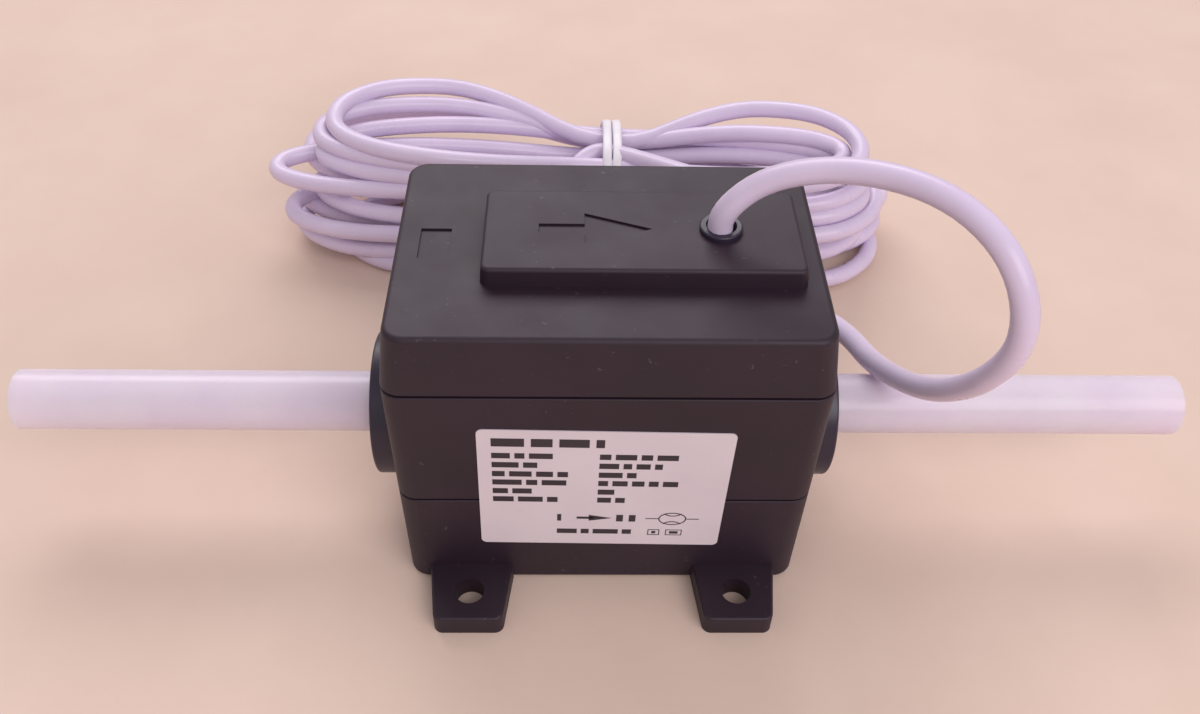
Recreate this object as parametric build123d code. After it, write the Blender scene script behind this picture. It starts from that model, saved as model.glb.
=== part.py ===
from build123d import *
import os
from math import cos, radians, sin, tan

# Digital flow switch with tube ends, millimetres, +Z up.
# The origin is the centre of the footprint: the feet rest on z = 0 and the flow runs along +X.

# Tube ends and the flow line
overall_length = 183.0
tube_od = 9.525
tube_bore = 6.35
tube_axis_z = 20.0
tube_seat = 10.0

# Case: lower case, middle case and cover, split by two level parting lines
base_length = 60.6
base_depth = 39.2
joint_length = 61.5
joint_depth = 40.2
lid_length = 59.0
lid_depth = 39.0
lower_joint_z = tube_axis_z
upper_joint_z = 42.0
case_height = 52.0
case_corner = 3.0
wall = 2.2
floor_thickness = 2.5
base_edge_radius = 1.1
lid_edge_radius = 0.8
parting_gap = 0.4
parting_edge_radius = 0.2
gasket_recess = 0.7

# Raised plateau on the cover, with the cable outlet, the arrow and a bare recess beside it
plateau_length = 44.3
plateau_depth = 18.4
plateau_offset_x = 4.65
plateau_height = 2.8
plateau_corner = 1.2
plateau_edge_radius = 0.55
plateau_draft = 0.3
plateau_wall = 2.4
arrow_length = 15.7
arrow_head_length = 9.4
arrow_shaft_width = 2.0
arrow_head_width = 6.8
arrow_tip_x = 6.0
arrow_depth = 0.3
recess_length = 4.3
recess_depth_y = 6.5
recess_x = -24.15
recess_sink = 0.3

# Feet, cast with the lower case
foot_x = 20.5
foot_hole_y = 24.55
foot_hole_diameter = 4.5
foot_thickness = 3.7
foot_reach = 29.65
foot_root_width = 12.85
foot_tip_width = 10.35
foot_corner = 1.4
foot_edge_radius = 0.4

# Collars in the side walls, round each tube
collar_radius = 11.3
collar_thickness = 4.45
collar_edge_radius = 0.4
collar_neck_radius = 8.6
collar_flange_radius = 9.8
collar_flange_thickness = 2.0
collar_clearance = 0.1
seal_section = 1.6
seal_thickness = 1.2

# Case screws, driven from below through all three case parts
screw_inset = 4.7
screw_shank_radius = 1.25
screw_head_radius = 2.25
screw_head_height = 1.6
screw_boss_radius = 3.4
screw_clearance = 0.15
screw_counterbore = 4.0
screw_engagement = 5.0
hex_socket_radius = 1.1

# Flow body between the collars, held in cross ribs
body_width = 19.0
body_height = 19.0
body_edge_radius = 1.5
channel_diameter = 6.0
rib_thickness = 2.0
board_hole_edge = 3.7
rib_overlap = 3.5
rib_clearance = 0.1
middle_rib_rise = 3.5

# Vortex bar and sensor vane across the channel
bar_x = -6.0
bar_width = 2.4
bar_length = 3.0
bar_head_radius = 3.0
bar_head_height = 2.0
vane_x = 5.0
vane_width = 1.8
vane_length = 4.0
vane_plug_radius = 4.5
vane_plug_height = 4.0
element_thickness = 0.7
element_length = 2.4
element_height = 9.5
seal_width = 1.0
clamp_width = 13.0
clamp_thickness = 2.0
clamp_edge = 2.2
small_screw_radius = 0.9
small_screw_head_radius = 1.5
small_screw_head_height = 1.2
small_screw_length = 5.0

# Circuit board on four posts
board_end_gap = 0.5
board_side_gap = 1.4
board_thickness = 1.6
board_corner = 1.0
post_radius = 2.2
post_edge = 3.0
post_height = 3.5
chip_size = 7.0
chip_height = 1.2
chip_x = -8.0
regulator_length = 6.6
regulator_width = 6.0
regulator_height = 2.2
regulator_x = -9.0
regulator_y = -9.5
capacitor_radius = 2.5
capacitor_height = 5.0
capacitor_x = 1.0
capacitor_y = 9.0
amplifier_length = 5.0
amplifier_width = 4.0
amplifier_height = 1.5
amplifier_y = 10.0
terminal_size = 2.4
terminal_height = 3.2
terminal_x = 9.0
terminal_pitch = 3.4
sensor_lead_radius = 0.4
sensor_lead_pitch = 1.6

# Cable outlet: bush, cable clamp and the four cores inside
cable_diameter = 3.5
outlet_x = 15.4
bush_radius = 3.0
bush_height = 0.8
bush_edge_radius = 0.3
bush_neck_radius = 2.6
bush_flange_radius = 3.3
bush_flange_thickness = 1.2
bush_mouth_radius = 2.15
bush_mouth_depth = 2.2
grip_width = 7.0
grip_thickness = 2.6
grip_boss_radius = 1.6
grip_boss_gap = 0.2
core_diameter = 1.1
core_spread = 0.66
core_bend = 1.3

# Label on the front face, bare
label_width = 36.0
label_height = 26.0
label_thickness = 0.15
label_corner = 0.9
label_centre_x = -0.35
label_centre_z = 22.5
label_turn = -1.09

# Free cable: an arc from the outlet over the right tube, down to a tied hank behind the case
cable_route = [
    (15.4, 0.0, 48.2),
    (15.4, 0.0, 55.2),
    (15.8, -1.0, 60.5),
    (18.6, -1.2, 64.2),
    (23.6, -1.8, 66.2),
    (31.5, -4.0, 68.3),
    (40.4, -10.8, 69.7),
    (46.9, -20.4, 67.6),
    (50.6, -24.6, 57.1),
    (48.9, -18.9, 43.0),
    (45.9, -8.0, 32.0),
    (42.2, 3.8, 26.5),
    (41.4, 14.8, 22.0),
    (39.8, 24.2, 16.4),
    (35.8, 32.0, 10.8),
    (30.0, 38.8, 6.1),
    (24.0, 46.5, 3.2),
    (19.5, 56.0, 2.6),
    (13.4, 65.2, 3.5),
    (6.6, 72.0, 5.6),
]
tail_route = [
    (-3.0, 75.5, 4.2),
    (-7.5, 67.5, 3.0),
    (-10.5, 59.0, 2.3),
    (-11.5, 50.0, 2.0),
]
tight_bend = 0.45
hank_tie_x = 3.0
hank_tie_y = 79.0
hank_left_x = -66.0
hank_right_x = 61.0
hank_front_y = 48.0
hank_back_y = 94.0
hank_height = 28.0
hank_waist_depth = 18.4
hank_waist_half_length = 3.2
hank_waist_top = 15.4
hank_waist_base = 1.3
hank_shoulder = 31.0
hank_end_drop = 7.0
hank_corner = 7.0
tie_thickness = 0.9
tie_strand_width = 2.1
tie_strand_gap = 0.4
core_length = 14.0
core_fan = 2.8
core_tip_length = 5.0
core_tip_radius = 0.4
core_rest_z = 0.75

# Places worked out from the sizes above
half_length = overall_length / 2
tube_radius = tube_od / 2
lower_top = lower_joint_z - parting_gap / 2
middle_bottom = lower_joint_z + parting_gap / 2
middle_top = upper_joint_z - parting_gap / 2
lid_bottom = upper_joint_z + parting_gap / 2
lid_ceiling = case_height - wall
plateau_top = case_height + plateau_height
plateau_ceiling = plateau_top - plateau_wall
screw_x = base_length / 2 - screw_inset
screw_y = base_depth / 2 - screw_inset
body_bottom = tube_axis_z - body_height / 2
body_top = tube_axis_z + body_height / 2
board_bottom = body_top + middle_rib_rise + post_height
board_top = board_bottom + board_thickness
board_length = 2 * (screw_x - screw_boss_radius - board_end_gap)
board_width = base_depth - 2 * wall - 2 * board_side_gap
post_y = board_width / 2 - post_edge
rib_x = board_length / 2 - board_hole_edge
clamp_top = body_top + clamp_thickness
clamp_screws_x = (bar_x - bar_head_radius - clamp_edge, vane_x + vane_plug_radius + seal_width + clamp_edge)
grip_top = plateau_ceiling - bush_flange_thickness
grip_bottom = grip_top - grip_thickness
grip_screw_y = bush_flange_radius + grip_boss_gap + grip_boss_radius
grip_length = 2 * (grip_screw_y + small_screw_head_radius)
cable_inner_end = cable_route[0][2]
terminal_top = board_top + terminal_height
corners = [(1, 1), (-1, 1), (-1, -1), (1, -1)]


def level_plane(z):
    return Plane.XY.offset(z)


def blend_size(low, high, share):
    return (low[0] + (high[0] - low[0]) * share, low[1] + (high[1] - low[1]) * share)


def case_size(z):
    """Outer length and depth of the lower and middle case at a height."""
    return blend_size((base_length, base_depth), (joint_length, joint_depth), z / upper_joint_z)


def lid_size(z):
    """Outer length and depth of the cover at a height."""
    share = (z - upper_joint_z) / (case_height - upper_joint_z)
    return blend_size((joint_length, joint_depth), (lid_length, lid_depth), share)


def tapered_block(size_at, low_z, high_z, inset=0.0):
    """Rounded block between two heights, its sides following the draft of size_at."""
    sections = []
    for z in (low_z, high_z):
        length, depth = size_at(z)
        outline = RectangleRounded(length - 2 * inset, depth - 2 * inset, case_corner - inset)
        sections.append((level_plane(z) * outline).face())
    return loft(sections, ruled=True)


def upright(radius, low_z, high_z, x=0.0, y=0.0):
    """Round bar standing between two heights."""
    return Pos(x, y, (low_z + high_z) / 2) * Cylinder(radius, high_z - low_z)


def lying(radius, low_x, high_x):
    """Round bar on the tube axis between two places along it."""
    return Pos((low_x + high_x) / 2, 0, tube_axis_z) * Rot(0, 90, 0) * Cylinder(radius, high_x - low_x)


def block(low, high):
    """Square-edged block between two corners."""
    centre = [(a + b) / 2 for a, b in zip(low, high)]
    size = [b - a for a, b in zip(low, high)]
    return Pos(*centre) * Box(*size)


# The side wall, collar and flow body line up from the outside in
collar_heights = (tube_axis_z - collar_radius, tube_axis_z + collar_radius)
side_x = max(case_size(z)[0] for z in collar_heights) / 2
flange_heights = (tube_axis_z - collar_flange_radius, tube_axis_z + collar_flange_radius)
wall_inner_x = min(case_size(z)[0] for z in flange_heights) / 2 - wall
flange_outer_x = wall_inner_x - collar_clearance
flange_inner_x = flange_outer_x - collar_flange_thickness
body_end_x = flange_inner_x - seal_thickness
tube_inner_x = body_end_x - tube_seat
collar_inner_x = side_x + collar_clearance
collar_outer_x = collar_inner_x + collar_thickness


def collar_openings():
    """Round holes for the collar necks through both side walls."""
    radius = collar_neck_radius + collar_clearance
    return lying(radius, body_end_x, collar_outer_x) + lying(radius, -collar_outer_x, -body_end_x)


def screw_columns(size_at, low_z, high_z):
    """Four corner columns for the case screws, each filled out to its corner of the case."""
    columns = Part()
    for sx, sy in corners:
        columns += upright(screw_boss_radius, low_z, high_z, sx * screw_x, sy * screw_y)
        near = (sx * screw_x, sy * screw_y)
        far = (sx * joint_length / 2, sy * joint_depth / 2)
        low = (min(near[0], far[0]), min(near[1], far[1]), low_z)
        columns += block(low, (max(near[0], far[0]), max(near[1], far[1]), high_z))
    return columns & tapered_block(size_at, low_z, high_z, wall / 2)


def screw_holes(radius, low_z, high_z):
    holes = Part()
    for sx, sy in corners:
        holes += upright(radius, low_z, high_z, sx * screw_x, sy * screw_y)
    return holes


def body_pocket():
    """Room for the flow body in the cross ribs, with a running fit at its sides only."""
    half_width = body_width / 2 + rib_clearance
    return block((-body_end_x, -half_width, body_bottom), (body_end_x, half_width, body_top))


def cross_ribs(low_z, high_z):
    half_depth = (base_depth - wall) / 2
    ribs = Part()
    for side in (-1, 1):
        low = (side * rib_x - rib_thickness / 2, -half_depth, low_z)
        ribs += block(low, (side * rib_x + rib_thickness / 2, half_depth, high_z))
    return ribs - body_pocket()


def foot():
    """One fixing foot, pointing along -Y, tapering to its rounded tip."""
    wall_y = base_depth / 2
    inner_y = wall_y - wall / 2
    outline = Polyline(
        (-foot_root_width / 2, -inner_y),
        (-foot_root_width / 2, -wall_y),
        (-foot_tip_width / 2, -foot_reach),
        (foot_tip_width / 2, -foot_reach),
        (foot_root_width / 2, -wall_y),
        (foot_root_width / 2, -inner_y),
        close=True,
    )
    plate = extrude(make_face(outline), foot_thickness)
    tip_edges = plate.edges().filter_by(Axis.Z).group_by(Axis.Y)[0]
    plate = fillet(tip_edges, foot_corner)
    return fillet(plate.faces().sort_by(Axis.Z)[-1].edges(), foot_edge_radius)


def feet():
    group = Part()
    for side in (-1, 1):
        group += Pos(side * foot_x, 0, 0) * foot()
        group += Pos(side * foot_x, 0, 0) * Rot(0, 0, 180) * foot()
    return group


def foot_holes():
    holes = Part()
    for sx, sy in corners:
        place = (sx * foot_x, sy * foot_hole_y)
        holes += upright(foot_hole_diameter / 2, -1, foot_thickness + 1, *place)
    return holes


def lower_case():
    shell = tapered_block(case_size, 0, lower_top)
    shell = fillet(shell.edges().group_by(Axis.Z)[0], base_edge_radius)
    shell = fillet(shell.edges().group_by(Axis.Z)[-1], parting_edge_radius)
    shell -= tapered_block(case_size, floor_thickness, lower_joint_z, wall)
    shell += feet()
    shell += screw_columns(case_size, floor_thickness / 2, lower_top)
    shell += cross_ribs(floor_thickness / 2, body_bottom + rib_overlap)
    shell -= collar_openings()
    shell -= foot_holes()
    shell -= screw_holes(screw_shank_radius + screw_clearance, -1, lower_joint_z)
    return shell - screw_holes(screw_head_radius + screw_clearance, -1, screw_counterbore)


def middle_case():
    shell = tapered_block(case_size, middle_bottom, middle_top)
    shell = fillet(shell.edges().group_by(Axis.Z)[0], parting_edge_radius)
    shell = fillet(shell.edges().group_by(Axis.Z)[-1], parting_edge_radius)
    shell -= tapered_block(case_size, lower_joint_z, upper_joint_z, wall)
    shell += screw_columns(case_size, middle_bottom, middle_top)
    rib_top = body_top + middle_rib_rise
    shell += cross_ribs(body_top - rib_overlap, rib_top)
    for sx, sy in corners:
        shell += upright(post_radius, rib_top - 1, board_bottom, sx * rib_x, sy * post_y)
        screw_tip = board_top - small_screw_length
        shell -= upright(small_screw_radius, screw_tip, board_bottom + 1, sx * rib_x, sy * post_y)
    shell -= collar_openings()
    return shell - screw_holes(screw_shank_radius + screw_clearance, lower_joint_z - 1, upper_joint_z)


def plateau():
    """Raised pad on the cover, its sides drafted and its upper edge rounded."""
    sections = []
    for z, inset in ((case_height - wall / 2, 0.0), (plateau_top, plateau_draft)):
        outline = RectangleRounded(plateau_length - 2 * inset, plateau_depth - 2 * inset, plateau_corner)
        sections.append((Pos(plateau_offset_x, 0, z) * outline).face())
    pad = loft(sections)
    return fillet(pad.faces().sort_by(Axis.Z)[-1].edges(), plateau_edge_radius)


def arrow_cut():
    """Flow arrow, sunk into the plateau and pointing along +X."""
    head_x = arrow_tip_x - arrow_head_length
    tail_x = arrow_tip_x - arrow_length
    shaft = arrow_shaft_width / 2
    head = arrow_head_width / 2
    outline = Polyline(
        (tail_x, -shaft), (head_x, -shaft), (head_x, -head), (arrow_tip_x, 0),
        (head_x, head), (head_x, shaft), (tail_x, shaft), close=True,
    )
    return level_plane(plateau_top - arrow_depth) * extrude(make_face(outline), arrow_depth + 1)


def upper_cover():
    shell = tapered_block(lid_size, lid_bottom, case_height)
    shell = fillet(shell.edges().group_by(Axis.Z)[0], parting_edge_radius)
    shell = fillet(shell.edges().group_by(Axis.Z)[-1], lid_edge_radius)
    shell += plateau()
    shell -= tapered_block(lid_size, upper_joint_z, lid_ceiling, wall)
    half_x = plateau_length / 2 - plateau_wall
    half_y = plateau_depth / 2 - plateau_wall
    shell -= block(
        (plateau_offset_x - half_x, -half_y, lid_ceiling - 1),
        (plateau_offset_x + half_x, half_y, plateau_ceiling),
    )
    shell += screw_columns(lid_size, lid_bottom, lid_ceiling + wall / 2)
    shell -= screw_holes(screw_shank_radius, upper_joint_z, lid_bottom + screw_engagement)
    for side in (-1, 1):
        place = (outlet_x, side * grip_screw_y)
        shell += upright(grip_boss_radius, grip_top, plateau_ceiling + 1, *place)
        screw_tip = grip_bottom + small_screw_length
        shell -= upright(small_screw_radius, grip_top - 1, screw_tip, *place)
    shell -= upright(bush_neck_radius, plateau_ceiling - 1, plateau_top + 1, outlet_x)
    shell -= arrow_cut()
    return shell - block(
        (recess_x - recess_length / 2, -recess_depth_y / 2, case_height - recess_sink),
        (recess_x + recess_length / 2, recess_depth_y / 2, case_height + 1),
    )


def gasket(z, low_z, high_z):
    """Flat sealing ring that fills a parting line, set back from the outer face."""
    length, depth = case_size(z)
    outer = RectangleRounded(
        length - 2 * gasket_recess, depth - 2 * gasket_recess, case_corner - gasket_recess
    )
    inner = RectangleRounded(length - 2 * wall, depth - 2 * wall, case_corner - wall)
    return level_plane(low_z) * extrude(outer - inner, high_z - low_z)


def lower_gasket():
    return gasket(lower_joint_z, lower_top, middle_bottom) - collar_openings()


def upper_gasket():
    return gasket(upper_joint_z, middle_top, lid_bottom)


def collar(side):
    """Ring outside the wall, neck through it and flange inside, turned in one piece."""
    ring = lying(collar_radius, collar_inner_x, collar_outer_x)
    outer_edge = ring.edges().filter_by(GeomType.CIRCLE).group_by(Axis.X)[-1]
    ring = fillet(outer_edge, collar_edge_radius)
    ring += lying(collar_neck_radius, flange_inner_x, collar_outer_x - 1)
    ring += lying(collar_flange_radius, flange_inner_x, flange_outer_x)
    ring -= lying(tube_radius, 0, half_length)
    return ring if side > 0 else ring.mirror(Plane.YZ)


def tube(side):
    pipe = lying(tube_radius, tube_inner_x, half_length)
    pipe -= lying(tube_bore / 2, tube_inner_x - 1, half_length + 1)
    return pipe if side > 0 else pipe.mirror(Plane.YZ)


def tube_seal(side):
    ring = lying(tube_radius + seal_section, body_end_x, flange_inner_x)
    ring -= lying(tube_radius, 0, half_length)
    return ring if side > 0 else ring.mirror(Plane.YZ)


bar_foot_z = tube_axis_z - channel_diameter / 2 - 1.5
vane_foot_z = tube_axis_z - channel_diameter / 2 + 0.6
vane_plug_z = body_top - vane_plug_height
element_top = body_top - seal_width
element_foot_z = element_top - element_height


def bar_shape(low_z, high_z):
    """Bluff bar across the channel, wide on the side that meets the flow."""
    wide = bar_width / 2
    narrow = bar_width / 5
    outline = Polyline(
        (-bar_length / 2, -wide), (bar_length / 2, -narrow),
        (bar_length / 2, narrow), (-bar_length / 2, wide), close=True,
    )
    return Pos(bar_x, 0, low_z) * extrude(make_face(outline), high_z - low_z)


def vane_shape(low_z, high_z, growth=0.0):
    half_x = vane_length / 2 + growth
    half_y = vane_width / 2 + growth
    return block((vane_x - half_x, -half_y, low_z), (vane_x + half_x, half_y, high_z))


def vortex_bar():
    head = upright(bar_head_radius, body_top - bar_head_height, body_top, bar_x)
    return bar_shape(bar_foot_z, body_top - bar_head_height / 2) + head


def sensor_vane():
    plug = upright(vane_plug_radius, vane_plug_z, body_top, vane_x)
    vane = plug + vane_shape(vane_foot_z, vane_plug_z + 1)
    vane -= upright(sensor_lead_pitch, element_top, body_top + 1, vane_x)
    return vane - piezo_element()


def piezo_element():
    half_x = element_length / 2
    half_y = element_thickness / 2
    return block((vane_x - half_x, -half_y, element_foot_z), (vane_x + half_x, half_y, element_top))


def sensor_seal():
    ring = upright(vane_plug_radius + seal_width, body_top - seal_width, body_top, vane_x)
    return ring - upright(vane_plug_radius, body_bottom, body_top + 1, vane_x)


def flow_body():
    """Block with a socket for each tube and a narrower channel that the sensor sits in."""
    half_width = body_width / 2
    core = block((-body_end_x, -half_width, body_bottom), (body_end_x, half_width, body_top))
    core = fillet(core.edges().filter_by(Axis.X), body_edge_radius)
    core -= lying(tube_radius, tube_inner_x, half_length) + lying(tube_radius, -half_length, -tube_inner_x)
    core -= lying(channel_diameter / 2, -half_length, half_length)
    core -= bar_shape(bar_foot_z, body_top + 1)
    core -= upright(bar_head_radius, body_top - bar_head_height, body_top + 1, bar_x)
    core -= upright(vane_plug_radius, vane_plug_z, body_top + 1, vane_x)
    core -= upright(vane_plug_radius + seal_width, body_top - seal_width, body_top + 1, vane_x)
    core -= vane_shape(tube_axis_z, vane_plug_z + 1, rib_clearance)
    for x in clamp_screws_x:
        core -= upright(small_screw_radius, clamp_top - small_screw_length, body_top + 1, x)
    return core


def sensor_clamp():
    low_x, high_x = clamp_screws_x
    half_width = clamp_width / 2
    plate = block((low_x - clamp_edge, -half_width, body_top), (high_x + clamp_edge, half_width, clamp_top))
    plate = fillet(plate.edges().filter_by(Axis.Z), clamp_edge / 2)
    plate -= upright(sensor_lead_pitch, body_bottom, board_bottom, vane_x)
    for x in clamp_screws_x:
        plate -= upright(small_screw_radius, body_bottom, board_bottom, x)
    return plate


def small_screw(x, y, seat_z, points_up=False):
    """Pan-head screw with its head seated at a height, driven down or up."""
    direction = 1 if points_up else -1
    tip_z = seat_z + direction * small_screw_length
    head_z = seat_z - direction * small_screw_head_height
    shank = upright(small_screw_radius, min(seat_z, tip_z), max(seat_z, tip_z), x, y)
    head = upright(small_screw_head_radius, min(seat_z, head_z), max(seat_z, head_z), x, y)
    rim = head.edges().filter_by(GeomType.CIRCLE).sort_by(Axis.Z)[0 if points_up else -1]
    head = chamfer(rim, small_screw_head_height / 3)
    slot_half = small_screw_head_height / 6
    reach = small_screw_head_radius
    slot_z = sorted((head_z - direction, head_z + direction * small_screw_head_height / 2))
    slot = block((x - reach, y - slot_half, slot_z[0]), (x + reach, y + slot_half, slot_z[1]))
    return shank + head - slot


def case_screws():
    """Four long screws, heads sunk in the floor, tips in the cover's columns."""
    screws = []
    for sx, sy in corners:
        x, y = sx * screw_x, sy * screw_y
        head_z = screw_counterbore - screw_head_height
        screw = upright(screw_shank_radius, screw_counterbore, lid_bottom + screw_engagement, x, y)
        screw += upright(screw_head_radius, head_z, screw_counterbore, x, y)
        socket = level_plane(head_z) * Pos(x, y, 0) * RegularPolygon(hex_socket_radius, 6)
        screws.append(screw - extrude(socket, screw_head_height / 2))
    return Compound(screws)


def circuit_board():
    outline = RectangleRounded(board_length, board_width, board_corner)
    board = level_plane(board_bottom) * extrude(outline, board_thickness)
    for sx, sy in corners:
        board -= upright(small_screw_radius, board_bottom - 1, board_top + 1, sx * rib_x, sy * post_y)
    return board


def board_chips():
    sizes = [
        (chip_x, 0, chip_size, chip_size, chip_height),
        (regulator_x, regulator_y, regulator_length, regulator_width, regulator_height),
        (chip_x, amplifier_y, amplifier_length, amplifier_width, amplifier_height),
    ]
    chips = []
    for x, y, length, width, height in sizes:
        low = (x - length / 2, y - width / 2, board_top)
        chips.append(block(low, (x + length / 2, y + width / 2, board_top + height)))
    return Compound(chips)


def board_capacitor():
    can = upright(capacitor_radius, board_top, board_top + capacitor_height, capacitor_x, capacitor_y)
    return fillet(can.edges().sort_by(Axis.Z)[-1], capacitor_radius / 6)


terminal_rows = [(index - 1.5) * terminal_pitch for index in range(4)]


def board_terminals():
    half = terminal_size / 2
    posts = []
    for y in terminal_rows:
        low = (terminal_x - half, y - half, board_top)
        posts.append(block(low, (terminal_x + half, y + half, terminal_top)))
    return Compound(posts)


def sensor_leads():
    places = (vane_x - sensor_lead_pitch / 2, vane_x + sensor_lead_pitch / 2)
    return Compound([upright(sensor_lead_radius, element_top, board_bottom, x) for x in places])


def bent_rod(points, radii, diameter):
    """Round rod along straight runs joined by tangent arcs."""
    path = FilletPolyline(*points, radius=radii)
    start = Plane(origin=path @ 0, z_dir=path % 0)
    return sweep(start * Circle(diameter / 2), path=path)


def inner_lead(index):
    """One core from the cable's inner end down to its own terminal."""
    row = terminal_rows[index]
    far_core = index in (0, 3)
    x = outlet_x + (core_spread if far_core else -core_spread)
    y = core_spread if row > 0 else -core_spread
    drop = cable_inner_end - terminal_top
    turn_high = cable_inner_end - drop * (0.5 if far_core else 0.28)
    turn_low = terminal_top + drop * (0.22 if far_core else 0.34)
    points = [(x, y, cable_inner_end), (x, y, turn_high), (terminal_x, row, turn_low),
              (terminal_x, row, terminal_top)]
    return bent_rod(points, core_bend * 0.6, core_diameter)


def cable_bush():
    """Rubber bush: rim over the hole, neck through it, flange inside, flared mouth."""
    rim = upright(bush_radius, plateau_top, plateau_top + bush_height, outlet_x)
    rim = fillet(rim.edges().sort_by(Axis.Z)[-1], bush_edge_radius)
    bush = rim + upright(bush_neck_radius, grip_top, plateau_top + bush_height / 2, outlet_x)
    bush += upright(bush_flange_radius, grip_top, plateau_ceiling, outlet_x)
    bush -= upright(cable_diameter / 2, grip_top - 1, plateau_top + 2, outlet_x)
    mouth_low = plateau_top + bush_height - bush_mouth_depth
    flare = Cone(cable_diameter / 2, bush_mouth_radius, bush_mouth_depth)
    return bush - Pos(outlet_x, 0, mouth_low + bush_mouth_depth / 2) * flare


def cable_clamp():
    half_x = grip_width / 2
    half_y = grip_length / 2
    plate = block((outlet_x - half_x, -half_y, grip_bottom), (outlet_x + half_x, half_y, grip_top))
    plate = fillet(plate.edges().filter_by(Axis.Z), small_screw_head_radius)
    plate -= upright(cable_diameter / 2, grip_bottom - 1, grip_top + 1, outlet_x)
    for side in (-1, 1):
        place = (outlet_x, side * grip_screw_y)
        plate -= upright(small_screw_radius, grip_bottom - 1, grip_top + 1, *place)
    return plate


def label():
    """Thin bare label, slightly askew on the drafted front face, over the lower parting line."""
    slope = (joint_depth - base_depth) / 2 / upper_joint_z
    front_y = -case_size(label_centre_z)[1] / 2
    turn = radians(label_turn)
    face = Plane(
        origin=(label_centre_x, front_y, label_centre_z),
        x_dir=(cos(turn), 0, sin(turn)),
        z_dir=(0, -1, -slope),
    )
    return extrude(face * RectangleRounded(label_width, label_height, label_corner), label_thickness)


def bend_radii(points):
    """For each corner, 0.45 of its shorter run over the tangent of half the turn."""
    radii = []
    for before, here, after in zip(points, points[1:], points[2:]):
        first = Vector(*here) - Vector(*before)
        second = Vector(*after) - Vector(*here)
        turn = radians(first.get_angle(second))
        radii.append(tight_bend * min(first.length, second.length) / tan(turn / 2))
    return radii


def cable_hank():
    """Outer shape of the tied hank: two lobes of turns and a narrow waist at the tie."""
    waist_front = hank_tie_y - hank_waist_depth / 2
    waist_back = hank_tie_y + hank_waist_depth / 2
    left_waist = hank_tie_x - hank_waist_half_length
    right_waist = hank_tie_x + hank_waist_half_length
    slant = 1.6 * hank_corner
    middle_y = (hank_front_y + hank_back_y) / 2
    plan = Polyline(
        (left_waist, waist_front), (hank_tie_x - hank_shoulder, hank_front_y),
        (hank_left_x + slant, hank_front_y), (hank_left_x, middle_y - hank_corner),
        (hank_left_x, middle_y + hank_corner), (hank_left_x + slant, hank_back_y),
        (hank_tie_x - hank_shoulder, hank_back_y), (left_waist, waist_back),
        (right_waist, waist_back), (hank_tie_x + hank_shoulder, hank_back_y),
        (hank_right_x - slant, hank_back_y), (hank_right_x, middle_y + hank_corner),
        (hank_right_x, middle_y - hank_corner), (hank_right_x - slant, hank_front_y),
        (hank_tie_x + hank_shoulder, hank_front_y), (right_waist, waist_front), close=True,
    )
    outline = extrude(make_face(plan), hank_height)
    end_top = hank_height - hank_end_drop
    side = Polyline(
        (hank_left_x, 0), (hank_tie_x - hank_shoulder, 0), (left_waist, hank_waist_base),
        (right_waist, hank_waist_base), (hank_tie_x + hank_shoulder, 0), (hank_right_x, 0),
        (hank_right_x, end_top), (hank_right_x - slant, hank_height),
        (hank_tie_x + hank_shoulder, hank_height), (right_waist, hank_waist_top),
        (left_waist, hank_waist_top), (hank_tie_x - hank_shoulder, hank_height),
        (hank_left_x + slant, hank_height), (hank_left_x, end_top), close=True,
    )
    profile = Pos(0, hank_back_y + 1, 0) * extrude(Plane.XZ * make_face(side), hank_back_y)
    return outline & profile


def twist_tie():
    """Two flat strands round the waist of the hank."""
    half_depth = hank_waist_depth / 2
    outer = block(
        (-tie_strand_width / 2, -half_depth - tie_thickness, hank_waist_base - tie_thickness),
        (tie_strand_width / 2, half_depth + tie_thickness, hank_waist_top + tie_thickness),
    )
    outer = fillet(outer.edges().filter_by(Axis.X), tie_thickness)
    strand = outer - block((-tie_strand_width, -half_depth, hank_waist_base),
                           (tie_strand_width, half_depth, hank_waist_top))
    offset = (tie_strand_width + tie_strand_gap) / 2
    return Compound([Pos(hank_tie_x + side * offset, hank_tie_y, 0) * strand for side in (-1, 1)])


def cable():
    return bent_rod(cable_route, bend_radii(cable_route), cable_diameter) - cable_hank()


def cable_tail():
    return bent_rod(tail_route, bend_radii(tail_route), cable_diameter) - cable_hank()


def tail_frame():
    """Plane across the cable's far end, facing the way the bare cores leave it."""
    end = Vector(*tail_route[-1])
    before = Vector(*tail_route[-2])
    return Plane(origin=end, x_dir=(1, 0, 0), z_dir=(end - before).normalized())


def core_points(index):
    """Route of one bare core: out of the sheath, fanned sideways and down to rest."""
    frame = tail_frame()
    across = core_spread if index > 1 else -core_spread
    up = core_spread if index in (1, 2) else -core_spread
    start = frame.from_local_coords(Vector(across, up, 0))
    spread = (index - 1.5) * core_fan
    end_y = start.Y - core_length
    middle_y = start.Y - core_length * 0.4
    return [
        tuple(start),
        tuple(start + frame.z_dir * core_length * 0.15),
        (start.X + spread * 0.5, middle_y, (start.Z + core_rest_z) / 2),
        (start.X + spread * 1.4, end_y, core_rest_z),
    ]


def bare_core(index):
    points = core_points(index)
    return bent_rod(points, bend_radii(points), core_diameter)


def core_tips():
    tips = []
    for index in range(4):
        last, end = [Vector(*point) for point in core_points(index)[-2:]]
        way = (end - last).normalized()
        plane = Plane(origin=end, z_dir=way)
        tips.append(extrude(plane * Circle(core_tip_radius), core_tip_length))
    return Compound(tips)


core_colours = ("brown", "black", "white", "blue")

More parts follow.
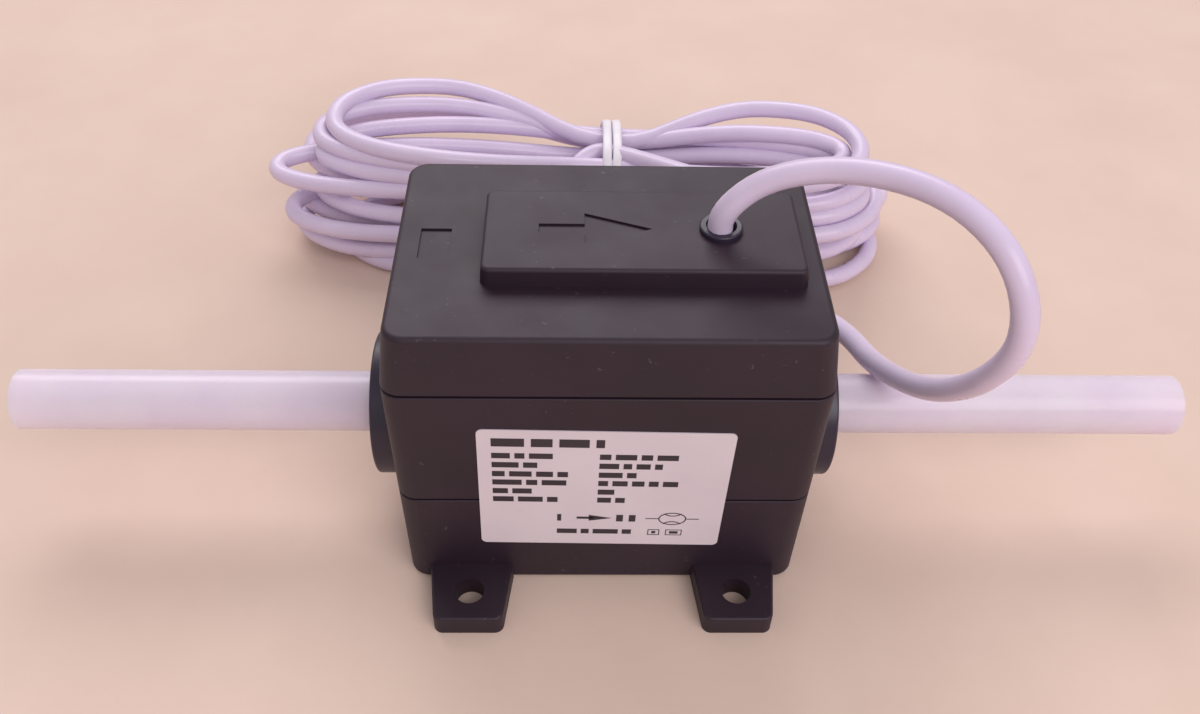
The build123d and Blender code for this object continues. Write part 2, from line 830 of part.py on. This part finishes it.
nodes = {
    "upper_cover": upper_cover(),
    "middle_case": middle_case(),
    "lower_case": lower_case(),
    "upper_gasket": upper_gasket(),
    "lower_gasket": lower_gasket(),
    "case_screws": case_screws(),
    "inlet_collar": collar(-1),
    "outlet_collar": collar(1),
    "inlet_seal": tube_seal(-1),
    "outlet_seal": tube_seal(1),
    "inlet_tube": tube(-1),
    "outlet_tube": tube(1),
    "flow_body": flow_body(),
    "vortex_bar": vortex_bar(),
    "sensor_vane": sensor_vane(),
    "piezo_element": piezo_element(),
    "sensor_seal": sensor_seal(),
    "sensor_clamp": sensor_clamp(),
    "sensor_clamp_screws": Compound([small_screw(x, 0, clamp_top) for x in clamp_screws_x]),
    "sensor_leads": sensor_leads(),
    "circuit_board": circuit_board(),
    "board_screws": Compound(
        [small_screw(sx * rib_x, sy * post_y, board_top) for sx, sy in corners]
    ),
    "board_chips": board_chips(),
    "board_capacitor": board_capacitor(),
    "board_terminals": board_terminals(),
    "cable_bush": cable_bush(),
    "cable_clamp": cable_clamp(),
    "cable_clamp_screws": Compound(
        [small_screw(outlet_x, side * grip_screw_y, grip_bottom, True) for side in (-1, 1)]
    ),
    "label": label(),
    "cable": cable(),
    "cable_hank": cable_hank(),
    "cable_tail": cable_tail(),
    "twist_tie": twist_tie(),
    "core_tips": core_tips(),
}
for index, colour in enumerate(core_colours):
    nodes["lead_" + colour] = inner_lead(index)
    nodes["core_" + colour] = bare_core(index)

os.makedirs("parts", exist_ok=True)
for name, shape in nodes.items():
    export_step(shape, "parts/" + name + ".step")

print("cable bend radii", [round(radius, 1) for radius in bend_radii(cable_route)])
print("tail bend radii", [round(radius, 1) for radius in bend_radii(tail_route)])
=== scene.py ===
"""Looks of a digital flow switch and its tied cable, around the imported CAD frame."""

from math import cos, pi, radians, sin

import bmesh
import bpy
from mathutils import Matrix, Vector


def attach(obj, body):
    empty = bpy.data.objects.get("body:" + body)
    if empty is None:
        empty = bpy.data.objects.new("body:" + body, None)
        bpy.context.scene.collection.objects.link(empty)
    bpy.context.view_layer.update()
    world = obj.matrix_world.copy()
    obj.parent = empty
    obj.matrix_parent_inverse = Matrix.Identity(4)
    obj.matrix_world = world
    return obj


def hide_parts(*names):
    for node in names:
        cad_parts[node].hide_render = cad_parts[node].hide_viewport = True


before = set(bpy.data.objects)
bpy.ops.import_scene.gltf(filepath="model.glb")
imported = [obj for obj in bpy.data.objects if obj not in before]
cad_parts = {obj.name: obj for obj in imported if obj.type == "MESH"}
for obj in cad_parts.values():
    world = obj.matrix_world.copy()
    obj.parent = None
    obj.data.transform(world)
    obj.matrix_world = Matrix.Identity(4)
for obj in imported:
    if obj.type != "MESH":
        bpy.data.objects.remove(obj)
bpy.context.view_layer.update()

MM = 0.001
scene = bpy.context.scene


def link(thing):
    """Puts a new object in the scene."""
    scene.collection.objects.link(thing)
    return thing


# Camera, fitted to the photograph's edges: place and lens in mm, angles in degrees

CAMERA_PLACE = Vector((-5.009, -120.648, 148.663)) * MM
CAMERA_PITCH = 44.498
CAMERA_YAW = 2.032
CAMERA_ROLL = 1.784
CAMERA_LENS = 33.165
SENSOR_WIDTH = 36

# Nearest distance it sees, in metres
NEAREST_SEEN = 0.01


def make_camera():
    pitch, yaw, roll = radians(CAMERA_PITCH), radians(CAMERA_YAW), radians(CAMERA_ROLL)
    forward = Vector((sin(yaw) * cos(pitch), cos(yaw) * cos(pitch), -sin(pitch)))
    level = forward.cross(Vector((0, 0, 1))).normalized()
    raised = level.cross(forward)
    right = level * cos(roll) + raised * sin(roll)
    up = raised * cos(roll) - level * sin(roll)
    data = bpy.data.cameras.new("camera")
    data.lens = CAMERA_LENS
    data.sensor_width = SENSOR_WIDTH
    data.sensor_fit = "HORIZONTAL"
    data.clip_start = NEAREST_SEEN
    camera = link(bpy.data.objects.new("camera", data))
    place = Matrix((right, up, -forward)).transposed().to_4x4()
    place.translation = CAMERA_PLACE
    camera.matrix_world = place
    scene.camera = camera


# Cable: one spline from the bush through the loop and the hank's ten turns to its bare end, in mm

CABLE_DIAMETER = 3.5
CABLE_START = [
    (15.4, 0, 48.8), (15.4, 0, 53.2), (14.9, -1, 58.7), (20.9, -1, 64.7), (31.3, -4.3, 68.3),
    (41.2, -12.1, 69.8), (47.3, -21.4, 67.1), (50.4, -24.7, 57), (49.1, -19.3, 43.9),
    (46.7, -9.3, 32.4), (42.7, 2.4, 26.2), (41.2, 12.8, 22.9), (37.9, 21.2, 19.8),
    (32.6, 28.6, 14.8), (27.6, 36.8, 8.8), (23.6, 46.2, 4.1), (19.6, 56, 2.4), (14.4, 64, 2.7),
    (9, 70, 3),
]
CABLE_END = [
    (-2.2, 76.2, 15.4), (-6.2, 72.4, 12.4), (-9, 67, 7.6), (-10.6, 60.6, 3.6), (-11.4, 54.6, 2.2),
    (-11.5, 50, 2),
]
TIE_X = 3.0
TIE_Y = 79.0

POINTS_PER_TURN = 16
LOBE_FULLNESS = 0.25
LOBE_BLEND = 0.62
STEPS_PER_POINT = 6
ROUND_STEPS = 5

# Each turn's left and right lobe: reach from the tie, where its back and front lie, and its height
TURNS = [
    ((56.1, 85.9, 49.6, 1.8), (55.6, 86.5, 44.1, 2.4)),
    ((65.5, 85.9, 52.1, 4.2), (57.0, 90.0, 52.0, 4.9)),
    ((65.0, 87.0, 60.0, 6.7), (52.0, 84.1, 47.5, 7.2)),
    ((66.5, 78.2, 52.9, 9.0), (58.0, 88.0, 57.0, 9.8)),
    ((61.0, 87.8, 54.7, 11.6), (53.0, 89.0, 60.0, 12.2)),
    ((64.3, 99.5, 61.1, 14.2), (54.3, 85.8, 43.9, 14.5)),
    ((69.2, 79.3, 58.7, 16.4), (50.8, 76.3, 47.9, 16.9)),
    ((59.7, 84.0, 59.3, 18.9), (50.3, 78.0, 49.1, 19.3)),
    ((60.4, 89.0, 60.4, 21.5), (47.3, 77.2, 57.8, 21.8)),
    ((57.5, 94.0, 58.6, 23.9), (50.1, 85.5, 47.9, 24.3)),
]

# Where the turns pass through the tie: offset from its middle, and the row
ROW_HEIGHTS = (3.0, 6.3, 9.6, 12.9)
FRONT_PLACES = [
    (-7.2, 0), (-3.6, 0), (0, 0), (-7.2, 1), (-3.6, 1), (-7.2, 2), (-3.6, 2), (0, 2), (-7.2, 3), (-3.6, 3),
]
BACK_PLACES = [
    (7.2, 0), (3.6, 0), (7.2, 1), (3.6, 1), (0, 1), (7.2, 2), (3.6, 2), (7.2, 3), (3.6, 3), (0, 3),
]
CROWN_PLACE = (-1.8, 15.9)


def smooth_step(share):
    share = min(max(share, 0.0), 1.0)
    return share * share * (3 - 2 * share)


def turn_points(index):
    """One turn, from the tie's front round the left lobe, through the tie, round the right lobe."""
    places = [(offset, ROW_HEIGHTS[row]) for offset, row in FRONT_PLACES] + [CROWN_PLACE]
    back_offset, back_row = BACK_PLACES[index]
    points = []
    for step in range(POINTS_PER_TURN):
        angle = 1.5 * pi - 2 * pi * step / POINTS_PER_TURN
        across, along = cos(angle), sin(angle)
        goes_left = step < POINTS_PER_TURN / 2
        reach, back, front, height = TURNS[index][0 if goes_left else 1]
        if along > 0:
            offset, tie_height = back_offset, ROW_HEIGHTS[back_row]
        else:
            offset, tie_height = places[index if goes_left else index + 1]
        width = abs(across) + LOBE_FULLNESS * (abs(across) - abs(across) ** 3)
        free = smooth_step(width / LOBE_BLEND)
        lobe_y = (back + front) / 2 + along * (back - front) / 2
        points.append((
            TIE_X + (-1 if goes_left else 1) * reach * width,
            (TIE_Y + offset) * (1 - free) + lobe_y * free,
            tie_height * (1 - free) + height * free,
        ))
    return points


def cable_points():
    """The loop, the ten turns, the last pass through the tie and the hidden tail."""
    points = list(CABLE_START)
    for index in range(len(TURNS)):
        points += turn_points(index)
    return points + [(TIE_X, TIE_Y + CROWN_PLACE[0], CROWN_PLACE[1])] + CABLE_END


def make_cable():
    """The sheath, a round curve along the cable's points, in place of the CAD cable nodes that it hides.
    """
    data = bpy.data.curves.new("cable_line", "CURVE")
    data.dimensions = "3D"
    spline = data.splines.new("NURBS")
    points = cable_points()
    spline.points.add(len(points) - 1)
    for point, place in zip(spline.points, points):
        point.co = (*(Vector(place) * MM), 1)
        point.radius = CABLE_DIAMETER / 2 * MM
    spline.order_u = 3
    spline.use_endpoint_u = True
    spline.resolution_u = STEPS_PER_POINT
    data.bevel_depth = 1.0
    data.bevel_resolution = ROUND_STEPS
    data.use_fill_caps = True
    cable = link(bpy.data.objects.new("cable_sheath", data))
    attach(cable, "root")
    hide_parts("cable", "cable_hank", "cable_tail")
    return cable


# Mesh helpers

def mesh_piece(name, vertices, faces, smooth=False):
    """New piece from points in mm, riding on the body."""
    mesh = bpy.data.meshes.new(name)
    mesh.from_pydata([Vector(vertex) * MM for vertex in vertices], [], faces)
    work = bmesh.new()
    work.from_mesh(mesh)
    bmesh.ops.recalc_face_normals(work, faces=work.faces)
    work.to_mesh(mesh)
    work.free()
    for polygon in mesh.polygons:
        polygon.use_smooth = smooth
    piece = link(bpy.data.objects.new(name, mesh))
    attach(piece, "root")
    return piece


# Twist tie: two flat strands wrapped round the waist of the hank

TIE_STRAND_WIDTH = 1.9
TIE_STRAND_THICKNESS = 0.8
TIE_PITCH = 2.1
TIE_HALF_DEPTH = 9.7
TIE_HALF_HEIGHT = 7.9
TIE_MIDDLE_Z = 8.7
TIE_CROWN = 1.9
TIE_STEPS = 72
TIE_SIDES = 12
TIE_SQUARENESS = 0.42
STRAND_SQUARENESS = 0.7
STRAND_EDGE_SWELL = 0.25
STRAND_LEAN = 0.25
STRAND_RIPPLE = 0.12
SMALL_TURN = 0.02


def signed_power(value, power):
    return abs(value) ** power * (1 if value > 0 else -1)


def tie_path(angle):
    """Depth and height of a strand's middle line round the waist."""
    depth = TIE_HALF_DEPTH * signed_power(cos(angle), TIE_SQUARENESS)
    rise = TIE_HALF_HEIGHT * signed_power(sin(angle), TIE_SQUARENESS)
    crown = TIE_CROWN * (1 - (depth / TIE_HALF_DEPTH) ** 2) if rise > 0 else 0
    return Vector((0, TIE_Y + depth, TIE_MIDDLE_Z + rise + crown))


def tie_strand(name, side):
    """One closed strand, left or right of the tie's middle, leaning a little as it goes round."""
    across = Vector((1, 0, 0))
    vertices, faces = [], []
    for step in range(TIE_STEPS):
        angle = 2 * pi * step / TIE_STEPS
        here = tie_path(angle)
        way = (tie_path(angle + SMALL_TURN) - tie_path(angle - SMALL_TURN)).normalized()
        outward = way.cross(across).normalized()
        lean = STRAND_LEAN * sin(angle + side) + STRAND_RIPPLE * sin(3 * angle + 2 * side)
        middle = here + across * (TIE_X + side * TIE_PITCH / 2 + lean)
        for edge in range(TIE_SIDES):
            turn = 2 * pi * edge / TIE_SIDES
            flat = cos(turn)
            swell = signed_power(sin(turn), STRAND_SQUARENESS) * (1 + STRAND_EDGE_SWELL * abs(flat))
            vertices.append(
                middle + across * flat * TIE_STRAND_WIDTH / 2 + outward * swell * TIE_STRAND_THICKNESS / 2
            )
    for step in range(TIE_STEPS):
        for edge in range(TIE_SIDES):
            ahead = (step + 1) % TIE_STEPS
            beside = (edge + 1) % TIE_SIDES
            faces.append((
                step * TIE_SIDES + edge, step * TIE_SIDES + beside,
                ahead * TIE_SIDES + beside, ahead * TIE_SIDES + edge,
            ))
    return mesh_piece(name, vertices, faces, smooth=True)


# Label print, in the label's own frame: mm across and up from its middle

LABEL_PLACE = (-0.35, 22.5)
LABEL_TURN = -1.09
LABEL_THICKNESS = 0.15
CASE_BASE_DEPTH = 39.2
CASE_JOINT_DEPTH = 40.2
CASE_JOINT_Z = 42.0
INK_THICKNESS = 0.03
INK_SINK = 0.02

# Gap between two bars of a row, as a share of the row's height
BAR_GAP = 0.55

# Headline: left, right, low and high edge, and its bars' lengths
HEADLINE = (-16.0, -0.2, 9.6, 11.3, (4.6, 3.0, 4.2, 1.4))
ROW_HEIGHT = 1.15

# Two columns of six rows: the rows' tops, then each column's left and its rows' ends and bar lengths
ROW_TOPS = (8.2, 6.2, 4.2, 2.3, 0.3, -1.6)
COLUMNS = [
    (-16.0, [
        (-7.4, (2.6, 1.4, 3.4)), (-8.6, (3.8, 2.0)), (-5.2, (1.8, 3.2, 2.4)),
        (-5.4, (4.2, 1.6)), (-9.8, (2.2, 2.8, 1.6)), (-6.6, (3.0, 3.6)),
    ]),
    (-0.8, [
        (10.6, (1.6, 3.0)), (8.2, (2.8, 1.2, 2.0)), (4.6, (3.4,)),
        (11.2, (1.4, 2.2, 1.8)), (2.8, (2.4, 3.0)), (3.6, (2.0, 1.4, 2.6)),
    ]),
]

# Row with the flow arrow, and the bottom row
PORT_BARS = [(-6.6, -4.7, -7.3, -5.7, (0.6, 0.9)), (2.2, 5.6, -7.3, -5.7, (1.0,))]
ARROW_SHAFT = (-3.7, -1.2, -6.75, -6.25)
ARROW_HEAD = [(-1.9, -7.2), (1.5, -6.5), (-1.9, -5.8)]
FLOW_SYMBOL_PLACE = (10.6, -6.5)
FLOW_SYMBOL_HALF = (2.1, 1.5)
FLOW_SYMBOL_STROKE = 0.18
FLOW_SYMBOL_STEPS = 32
FLOW_LINE_LENGTH = 1.9
FLOW_LINE_HALF = 0.08

# Arcs in the flow symbol: distance from its middle, width and height as shares of its own
FLOW_ARC_OFFSET = 1.15
FLOW_ARC_WIDTH = 0.72
FLOW_ARC_HEIGHT = 0.75
FLOW_ARC_SWEEP = 0.7 * pi
FLOW_ARC_STARTS = {-1: 0.15 * pi, 1: 1.15 * pi}
FLOW_ARC_STEPS = 14

BOTTOM_BARS = (-6.6, 4.6, -10.4, -9.3, (3.0, 1.2, 3.8))
BOX_SPANS = ((7.1, 8.9), (9.8, 12.3))
BOX_LEVELS = (-10.6, -9.2)
BOX_STROKE = 0.14
BOX_MARGIN = (0.6, 0.4)


def label_frame():
    """Middle of the label's drafted front face, and its directions across, up and out."""
    slope = (CASE_JOINT_DEPTH - CASE_BASE_DEPTH) / 2 / CASE_JOINT_Z
    turn = radians(LABEL_TURN)
    z_axis = Vector((0, -1, -slope)).normalized()
    x_axis = Vector((cos(turn), 0, sin(turn)))
    x_axis = (x_axis - z_axis * x_axis.dot(z_axis)).normalized()
    y_axis = z_axis.cross(x_axis)
    depth = CASE_BASE_DEPTH + (CASE_JOINT_DEPTH - CASE_BASE_DEPTH) * LABEL_PLACE[1] / CASE_JOINT_Z
    origin = Vector((LABEL_PLACE[0], -depth / 2, LABEL_PLACE[1])) + z_axis * LABEL_THICKNESS
    return origin, x_axis, y_axis, z_axis


def ink(name, outlines):
    """Thin raised shapes on the label, each an outline of (across, up) points in mm."""
    origin, x_axis, y_axis, z_axis = label_frame()
    vertices, faces = [], []
    for outline in outlines:
        start, count = len(vertices), len(outline)
        for level in (-INK_SINK, INK_THICKNESS):
            for across, up in outline:
                vertices.append(origin + x_axis * across + y_axis * up + z_axis * level)
        faces.append(tuple(start + index for index in range(count)))
        faces.append(tuple(start + count + index for index in range(count)))
        for index in range(count):
            ahead = (index + 1) % count
            faces.append((start + index, start + ahead, start + count + ahead, start + count + index))
    return mesh_piece(name, vertices, faces)


def bar(left, right, low, high):
    return [(left, low), (right, low), (right, high), (left, high)]


def bar_row(left, right, low, high, lengths):
    """Bars of the given lengths in turn, with gaps, until the row is full."""
    gap = (high - low) * BAR_GAP
    bars, start, index = [], left, 0
    while start < right - gap:
        end = min(start + lengths[index % len(lengths)], right)
        bars.append(bar(start, end, low, high))
        start, index = end + gap, index + 1
    return bars


def ring(centre_x, centre_y, half_width, half_height, thickness, steps, start=0.0, sweep=2 * pi):
    """Short strokes that follow an ellipse."""
    strokes = []
    for step in range(steps):
        quad = []
        for angle, grow in ((step, 0), (step + 1, 0), (step + 1, thickness), (step, thickness)):
            turn = start + sweep * angle / steps
            quad.append((
                centre_x + (half_width - grow) * cos(turn), centre_y + (half_height - grow) * sin(turn),
            ))
        strokes.append(quad)
    return strokes


def flow_symbol():
    """Ellipse on a line with two arcs inside it, the usual sign for a flow sensor."""
    centre_x, centre_y = FLOW_SYMBOL_PLACE
    half_width, half_height = FLOW_SYMBOL_HALF
    shapes = ring(centre_x, centre_y, half_width, half_height, FLOW_SYMBOL_STROKE, steps=FLOW_SYMBOL_STEPS)
    for side, start in FLOW_ARC_STARTS.items():
        shapes += ring(
            centre_x, centre_y + side * half_height * FLOW_ARC_OFFSET,
            half_width * FLOW_ARC_WIDTH, half_height * FLOW_ARC_HEIGHT,
            FLOW_SYMBOL_STROKE, start=start, sweep=FLOW_ARC_SWEEP, steps=FLOW_ARC_STEPS,
        )
    low, high = centre_y - FLOW_LINE_HALF, centre_y + FLOW_LINE_HALF
    shapes.append(bar(centre_x - half_width - FLOW_LINE_LENGTH, centre_x - half_width, low, high))
    shapes.append(bar(centre_x + half_width, centre_x + half_width + FLOW_LINE_LENGTH, low, high))
    return shapes


def boxed_bar(left, right):
    """Four strokes round a box, and a bar in its middle."""
    low, high = BOX_LEVELS
    margin_x, margin_y = BOX_MARGIN
    return [
        bar(left, right, high - BOX_STROKE, high),
        bar(left, right, low, low + BOX_STROKE),
        bar(left, left + BOX_STROKE, low + BOX_STROKE, high - BOX_STROKE),
        bar(right - BOX_STROKE, right, low + BOX_STROKE, high - BOX_STROKE),
        bar(left + margin_x, right - margin_x, low + margin_y, high - margin_y),
    ]


def label_shapes():
    """Headline, six two-column rows, arrow, flow symbol and a bottom row."""
    shapes = bar_row(*HEADLINE)
    for row, top in enumerate(ROW_TOPS):
        for left, rows in COLUMNS:
            right, lengths = rows[row]
            shapes += bar_row(left, right, top - ROW_HEIGHT, top, lengths)
    for bars in PORT_BARS:
        shapes += bar_row(*bars)
    shapes.append(bar(*ARROW_SHAFT))
    shapes.append(ARROW_HEAD)
    shapes += flow_symbol()
    shapes += bar_row(*BOTTOM_BARS)
    for left, right in BOX_SPANS:
        shapes += boxed_bar(left, right)
    return shapes


# Materials

def node_maker(material):
    """Returns a function that adds a node, links the sockets it is given and sets the other inputs."""
    tree = material.node_tree

    def make(kind, inputs=None, **settings):
        node = tree.nodes.new(kind)
        for key, value in settings.items():
            setattr(node, key, value)
        for key, value in (inputs or {}).items():
            if isinstance(value, bpy.types.NodeSocket):
                tree.links.new(value, node.inputs[key])
            else:
                node.inputs[key].default_value = value
        return node

    return make


def srgb(red, green, blue):
    """Linear colour for 0 to 255 screen values."""
    def linear(value):
        share = value / 255
        return share / 12.92 if share <= 0.04045 else ((share + 0.055) / 1.055) ** 2.4
    return (linear(red), linear(green), linear(blue), 1)


def new_material(name):
    material = bpy.data.materials.new(name)
    material.use_nodes = True
    return material, material.node_tree.nodes["Principled BSDF"], node_maker(material)


NOISE_ROUGHNESS = 0.55


def noise(make, scale, detail=3.0):
    place = make("ShaderNodeTexCoord").outputs["Object"]
    return make("ShaderNodeTexNoise", {
        "Vector": place, "Scale": scale, "Detail": detail, "Roughness": NOISE_ROUGHNESS,
    }).outputs["Fac"]


def ramp(make, value, low, high, low_to=0.0, high_to=1.0):
    """Stretches the part of a value between low and high, and holds it at the ends."""
    return make("ShaderNodeMapRange", {
        "Value": value, "From Min": low, "From Max": high, "To Min": low_to, "To Max": high_to,
    }).outputs["Result"]


# Places of the colour mix node's share, colours and result among its sockets
MIX_SHARE = 0
MIX_FIRST = 6
MIX_SECOND = 7
MIX_RESULT = 2


def mix_colour(make, share, first, second):
    node = make("ShaderNodeMix", data_type="RGBA")
    for index, value in ((MIX_SHARE, share), (MIX_FIRST, first), (MIX_SECOND, second)):
        socket = node.inputs[index]
        if isinstance(value, bpy.types.NodeSocket):
            node.id_data.links.new(value, socket)
        else:
            socket.default_value = value
    return node.outputs[MIX_RESULT]


# Parts of the noise that the tones, the gloss and the dust are made from
TONE_BAND = (0.35, 0.65)
GLOSS_BAND = (0.3, 0.7)
GLOSS_PER_PATCH = 3
DUST_SCALE = 900.0
DUST_BAND = (0.70, 0.76)
GRAIN_STRENGTH = 0.35


def surface(
    name, colour, second, roughness, grain, grain_depth, patch=60.0, spread=0.12,
    metallic=0.0, dust=None, dust_amount=0.0, **shader_values,
):
    """Moulded or metal finish: two near tones in patches, uneven gloss, a fine grain and some dust."""
    material, shader, make = new_material(name)
    patches = ramp(make, noise(make, patch, detail=4.0), *TONE_BAND)
    tone = mix_colour(make, patches, srgb(*colour), srgb(*second))
    if dust:
        specks = ramp(make, noise(make, DUST_SCALE, detail=2.0), *DUST_BAND, 0.0, dust_amount)
        tone = mix_colour(make, specks, tone, srgb(*dust))
    low_gloss, high_gloss = roughness - spread / 2, roughness + spread / 2
    gloss = ramp(make, noise(make, patch * GLOSS_PER_PATCH), *GLOSS_BAND, low_gloss, high_gloss)
    relief = make("ShaderNodeBump", {
        "Height": noise(make, grain, detail=2.0), "Strength": GRAIN_STRENGTH, "Distance": grain_depth * MM,
    }).outputs["Normal"]
    tree = material.node_tree
    tree.links.new(tone, shader.inputs["Base Color"])
    tree.links.new(gloss, shader.inputs["Roughness"])
    tree.links.new(relief, shader.inputs["Normal"])
    shader.inputs["Metallic"].default_value = metallic
    for key, value in shader_values.items():
        shader.inputs[key.replace("_", " ")].default_value = value
    return material


# Each finish: two near tones, roughness, and the grain's scale and depth in mm
FINISHES = {
    "case_black": ((34, 18, 32), (39, 22, 37), 0.54, 3200, 0.02),
    "collar_black": ((42, 32, 50), (47, 37, 57), 0.36, 2600, 0.02),
    "seal_rubber": ((34, 32, 38), (42, 40, 46), 0.65, 1800, 0.04),
    "tube_clear": ((248, 228, 252), (241, 220, 247), 0.2, 1500, 0.01),
    "fluoropolymer": ((222, 216, 220), (212, 206, 212), 0.4, 1500, 0.02),
    "steel": ((150, 148, 150), (168, 166, 168), 0.3, 2200, 0.01),
    "piezo": ((196, 178, 120), (206, 190, 140), 0.45, 2000, 0.02),
    "board_green": ((30, 84, 52), (36, 96, 60), 0.35, 1500, 0.02),
    "chip_black": ((28, 28, 30), (36, 36, 38), 0.5, 2600, 0.02),
    "tin": ((188, 188, 192), (204, 204, 208), 0.28, 2200, 0.01),
    "cable_grey": ((223, 208, 232), (215, 200, 225), 0.3, 900, 0.02),
    "core_brown": ((92, 58, 38), (104, 66, 44), 0.4, 1500, 0.02),
    "core_black": ((30, 30, 32), (38, 38, 40), 0.4, 1500, 0.02),
    "core_white": ((226, 224, 222), (216, 214, 212), 0.4, 1500, 0.02),
    "core_blue": ((40, 70, 140), (48, 82, 152), 0.4, 1500, 0.02),
    "label_silver": ((214, 204, 211), (220, 210, 216), 0.38, 1800, 0.01),
    "tie_white": ((238, 236, 240), (228, 224, 232), 0.4, 1200, 0.03),
    "ink": ((44, 36, 44), (52, 44, 52), 0.55, 1800, 0.01),
    "floor": ((226, 203, 186), (221, 197, 180), 0.85, 500, 0.12),
}

# What sets some finishes apart from the rest
SPECIALS = {
    "case_black": {"patch": 45, "spread": 0.06, "dust": (150, 135, 145), "dust_amount": 0.16},
    "tube_clear": {
        "patch": 90, "spread": 0.08, "Transmission_Weight": 0.12, "IOR": 1.4,
        "Subsurface_Weight": 0.85, "Subsurface_Scale": 0.004, "Subsurface_Radius": (1.0, 0.88, 1.0),
    },
    "steel": {"patch": 80, "metallic": 1.0},
    "tin": {"patch": 80, "spread": 0.1, "metallic": 1.0},
    "cable_grey": {"spread": 0.08},
    "label_silver": {"patch": 70, "spread": 0.08},
    "tie_white": {"patch": 200},
    "floor": {"patch": 28, "spread": 0.05},
}


def make_looks():
    return {name: surface(name, *tones, **SPECIALS.get(name, {})) for name, tones in FINISHES.items()}


def dress(looks):
    """Every CAD node gets the finish of its own slot."""
    for name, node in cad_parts.items():
        for index, held in enumerate(node.data.materials):
            slot = held.name.split(".")[0] if held else ""
            if slot not in looks:
                raise ValueError(f"no finish for {name} slot {slot}")
            node.material_slots[index].material = looks[slot]


# Floor and light, in metres

FLOOR_HALF = 3.0
FLOOR_LEVEL = -0.00005
LIGHT_TINT = (1.0, 0.94, 0.98)
WORLD_STRENGTH = 0.5


def make_floor(finish):
    corners = [(-1, -1), (1, -1), (1, 1), (-1, 1)]
    vertices = [(x * FLOOR_HALF, y * FLOOR_HALF, FLOOR_LEVEL) for x, y in corners]
    mesh = bpy.data.meshes.new("floor")
    mesh.from_pydata(vertices, [], [(0, 1, 2, 3)])
    floor = link(bpy.data.objects.new("floor", mesh))
    mesh.materials.append(finish)


def area_light(name, place, size, power):
    """Soft rectangular lamp that faces the object."""
    data = bpy.data.lights.new(name, "AREA")
    data.shape = "RECTANGLE"
    data.size, data.size_y = size
    data.energy = power
    data.color = LIGHT_TINT
    lamp = link(bpy.data.objects.new(name, data))
    lamp.location = place
    lamp.rotation_euler = (-Vector(place)).to_track_quat("-Z", "Y").to_euler()


def make_light():
    world = bpy.data.worlds.new("world")
    world.use_nodes = True
    background = world.node_tree.nodes["Background"]
    background.inputs["Color"].default_value = (*LIGHT_TINT, 1)
    background.inputs["Strength"].default_value = WORLD_STRENGTH
    scene.world = world
    area_light("key", place=(-0.15, 0.75, 0.75), size=(0.9, 0.5), power=5.6)
    area_light("fill", place=(0.35, -0.6, 0.6), size=(0.7, 0.6), power=4.2)
    scene.view_settings.view_transform = "Standard"


make_camera()
looks = make_looks()
strands = [tie_strand("tie_strand_left", -1), tie_strand("tie_strand_right", 1)]
for strand in strands:
    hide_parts("twist_tie")
    strand.data.materials.append(looks["tie_white"])
cable = make_cable()
cable.data.materials.append(looks["cable_grey"])
dress(looks)
print_piece = ink("label_print", label_shapes())
print_piece.data.materials.append(looks["ink"])
make_floor(looks["floor"])
make_light()
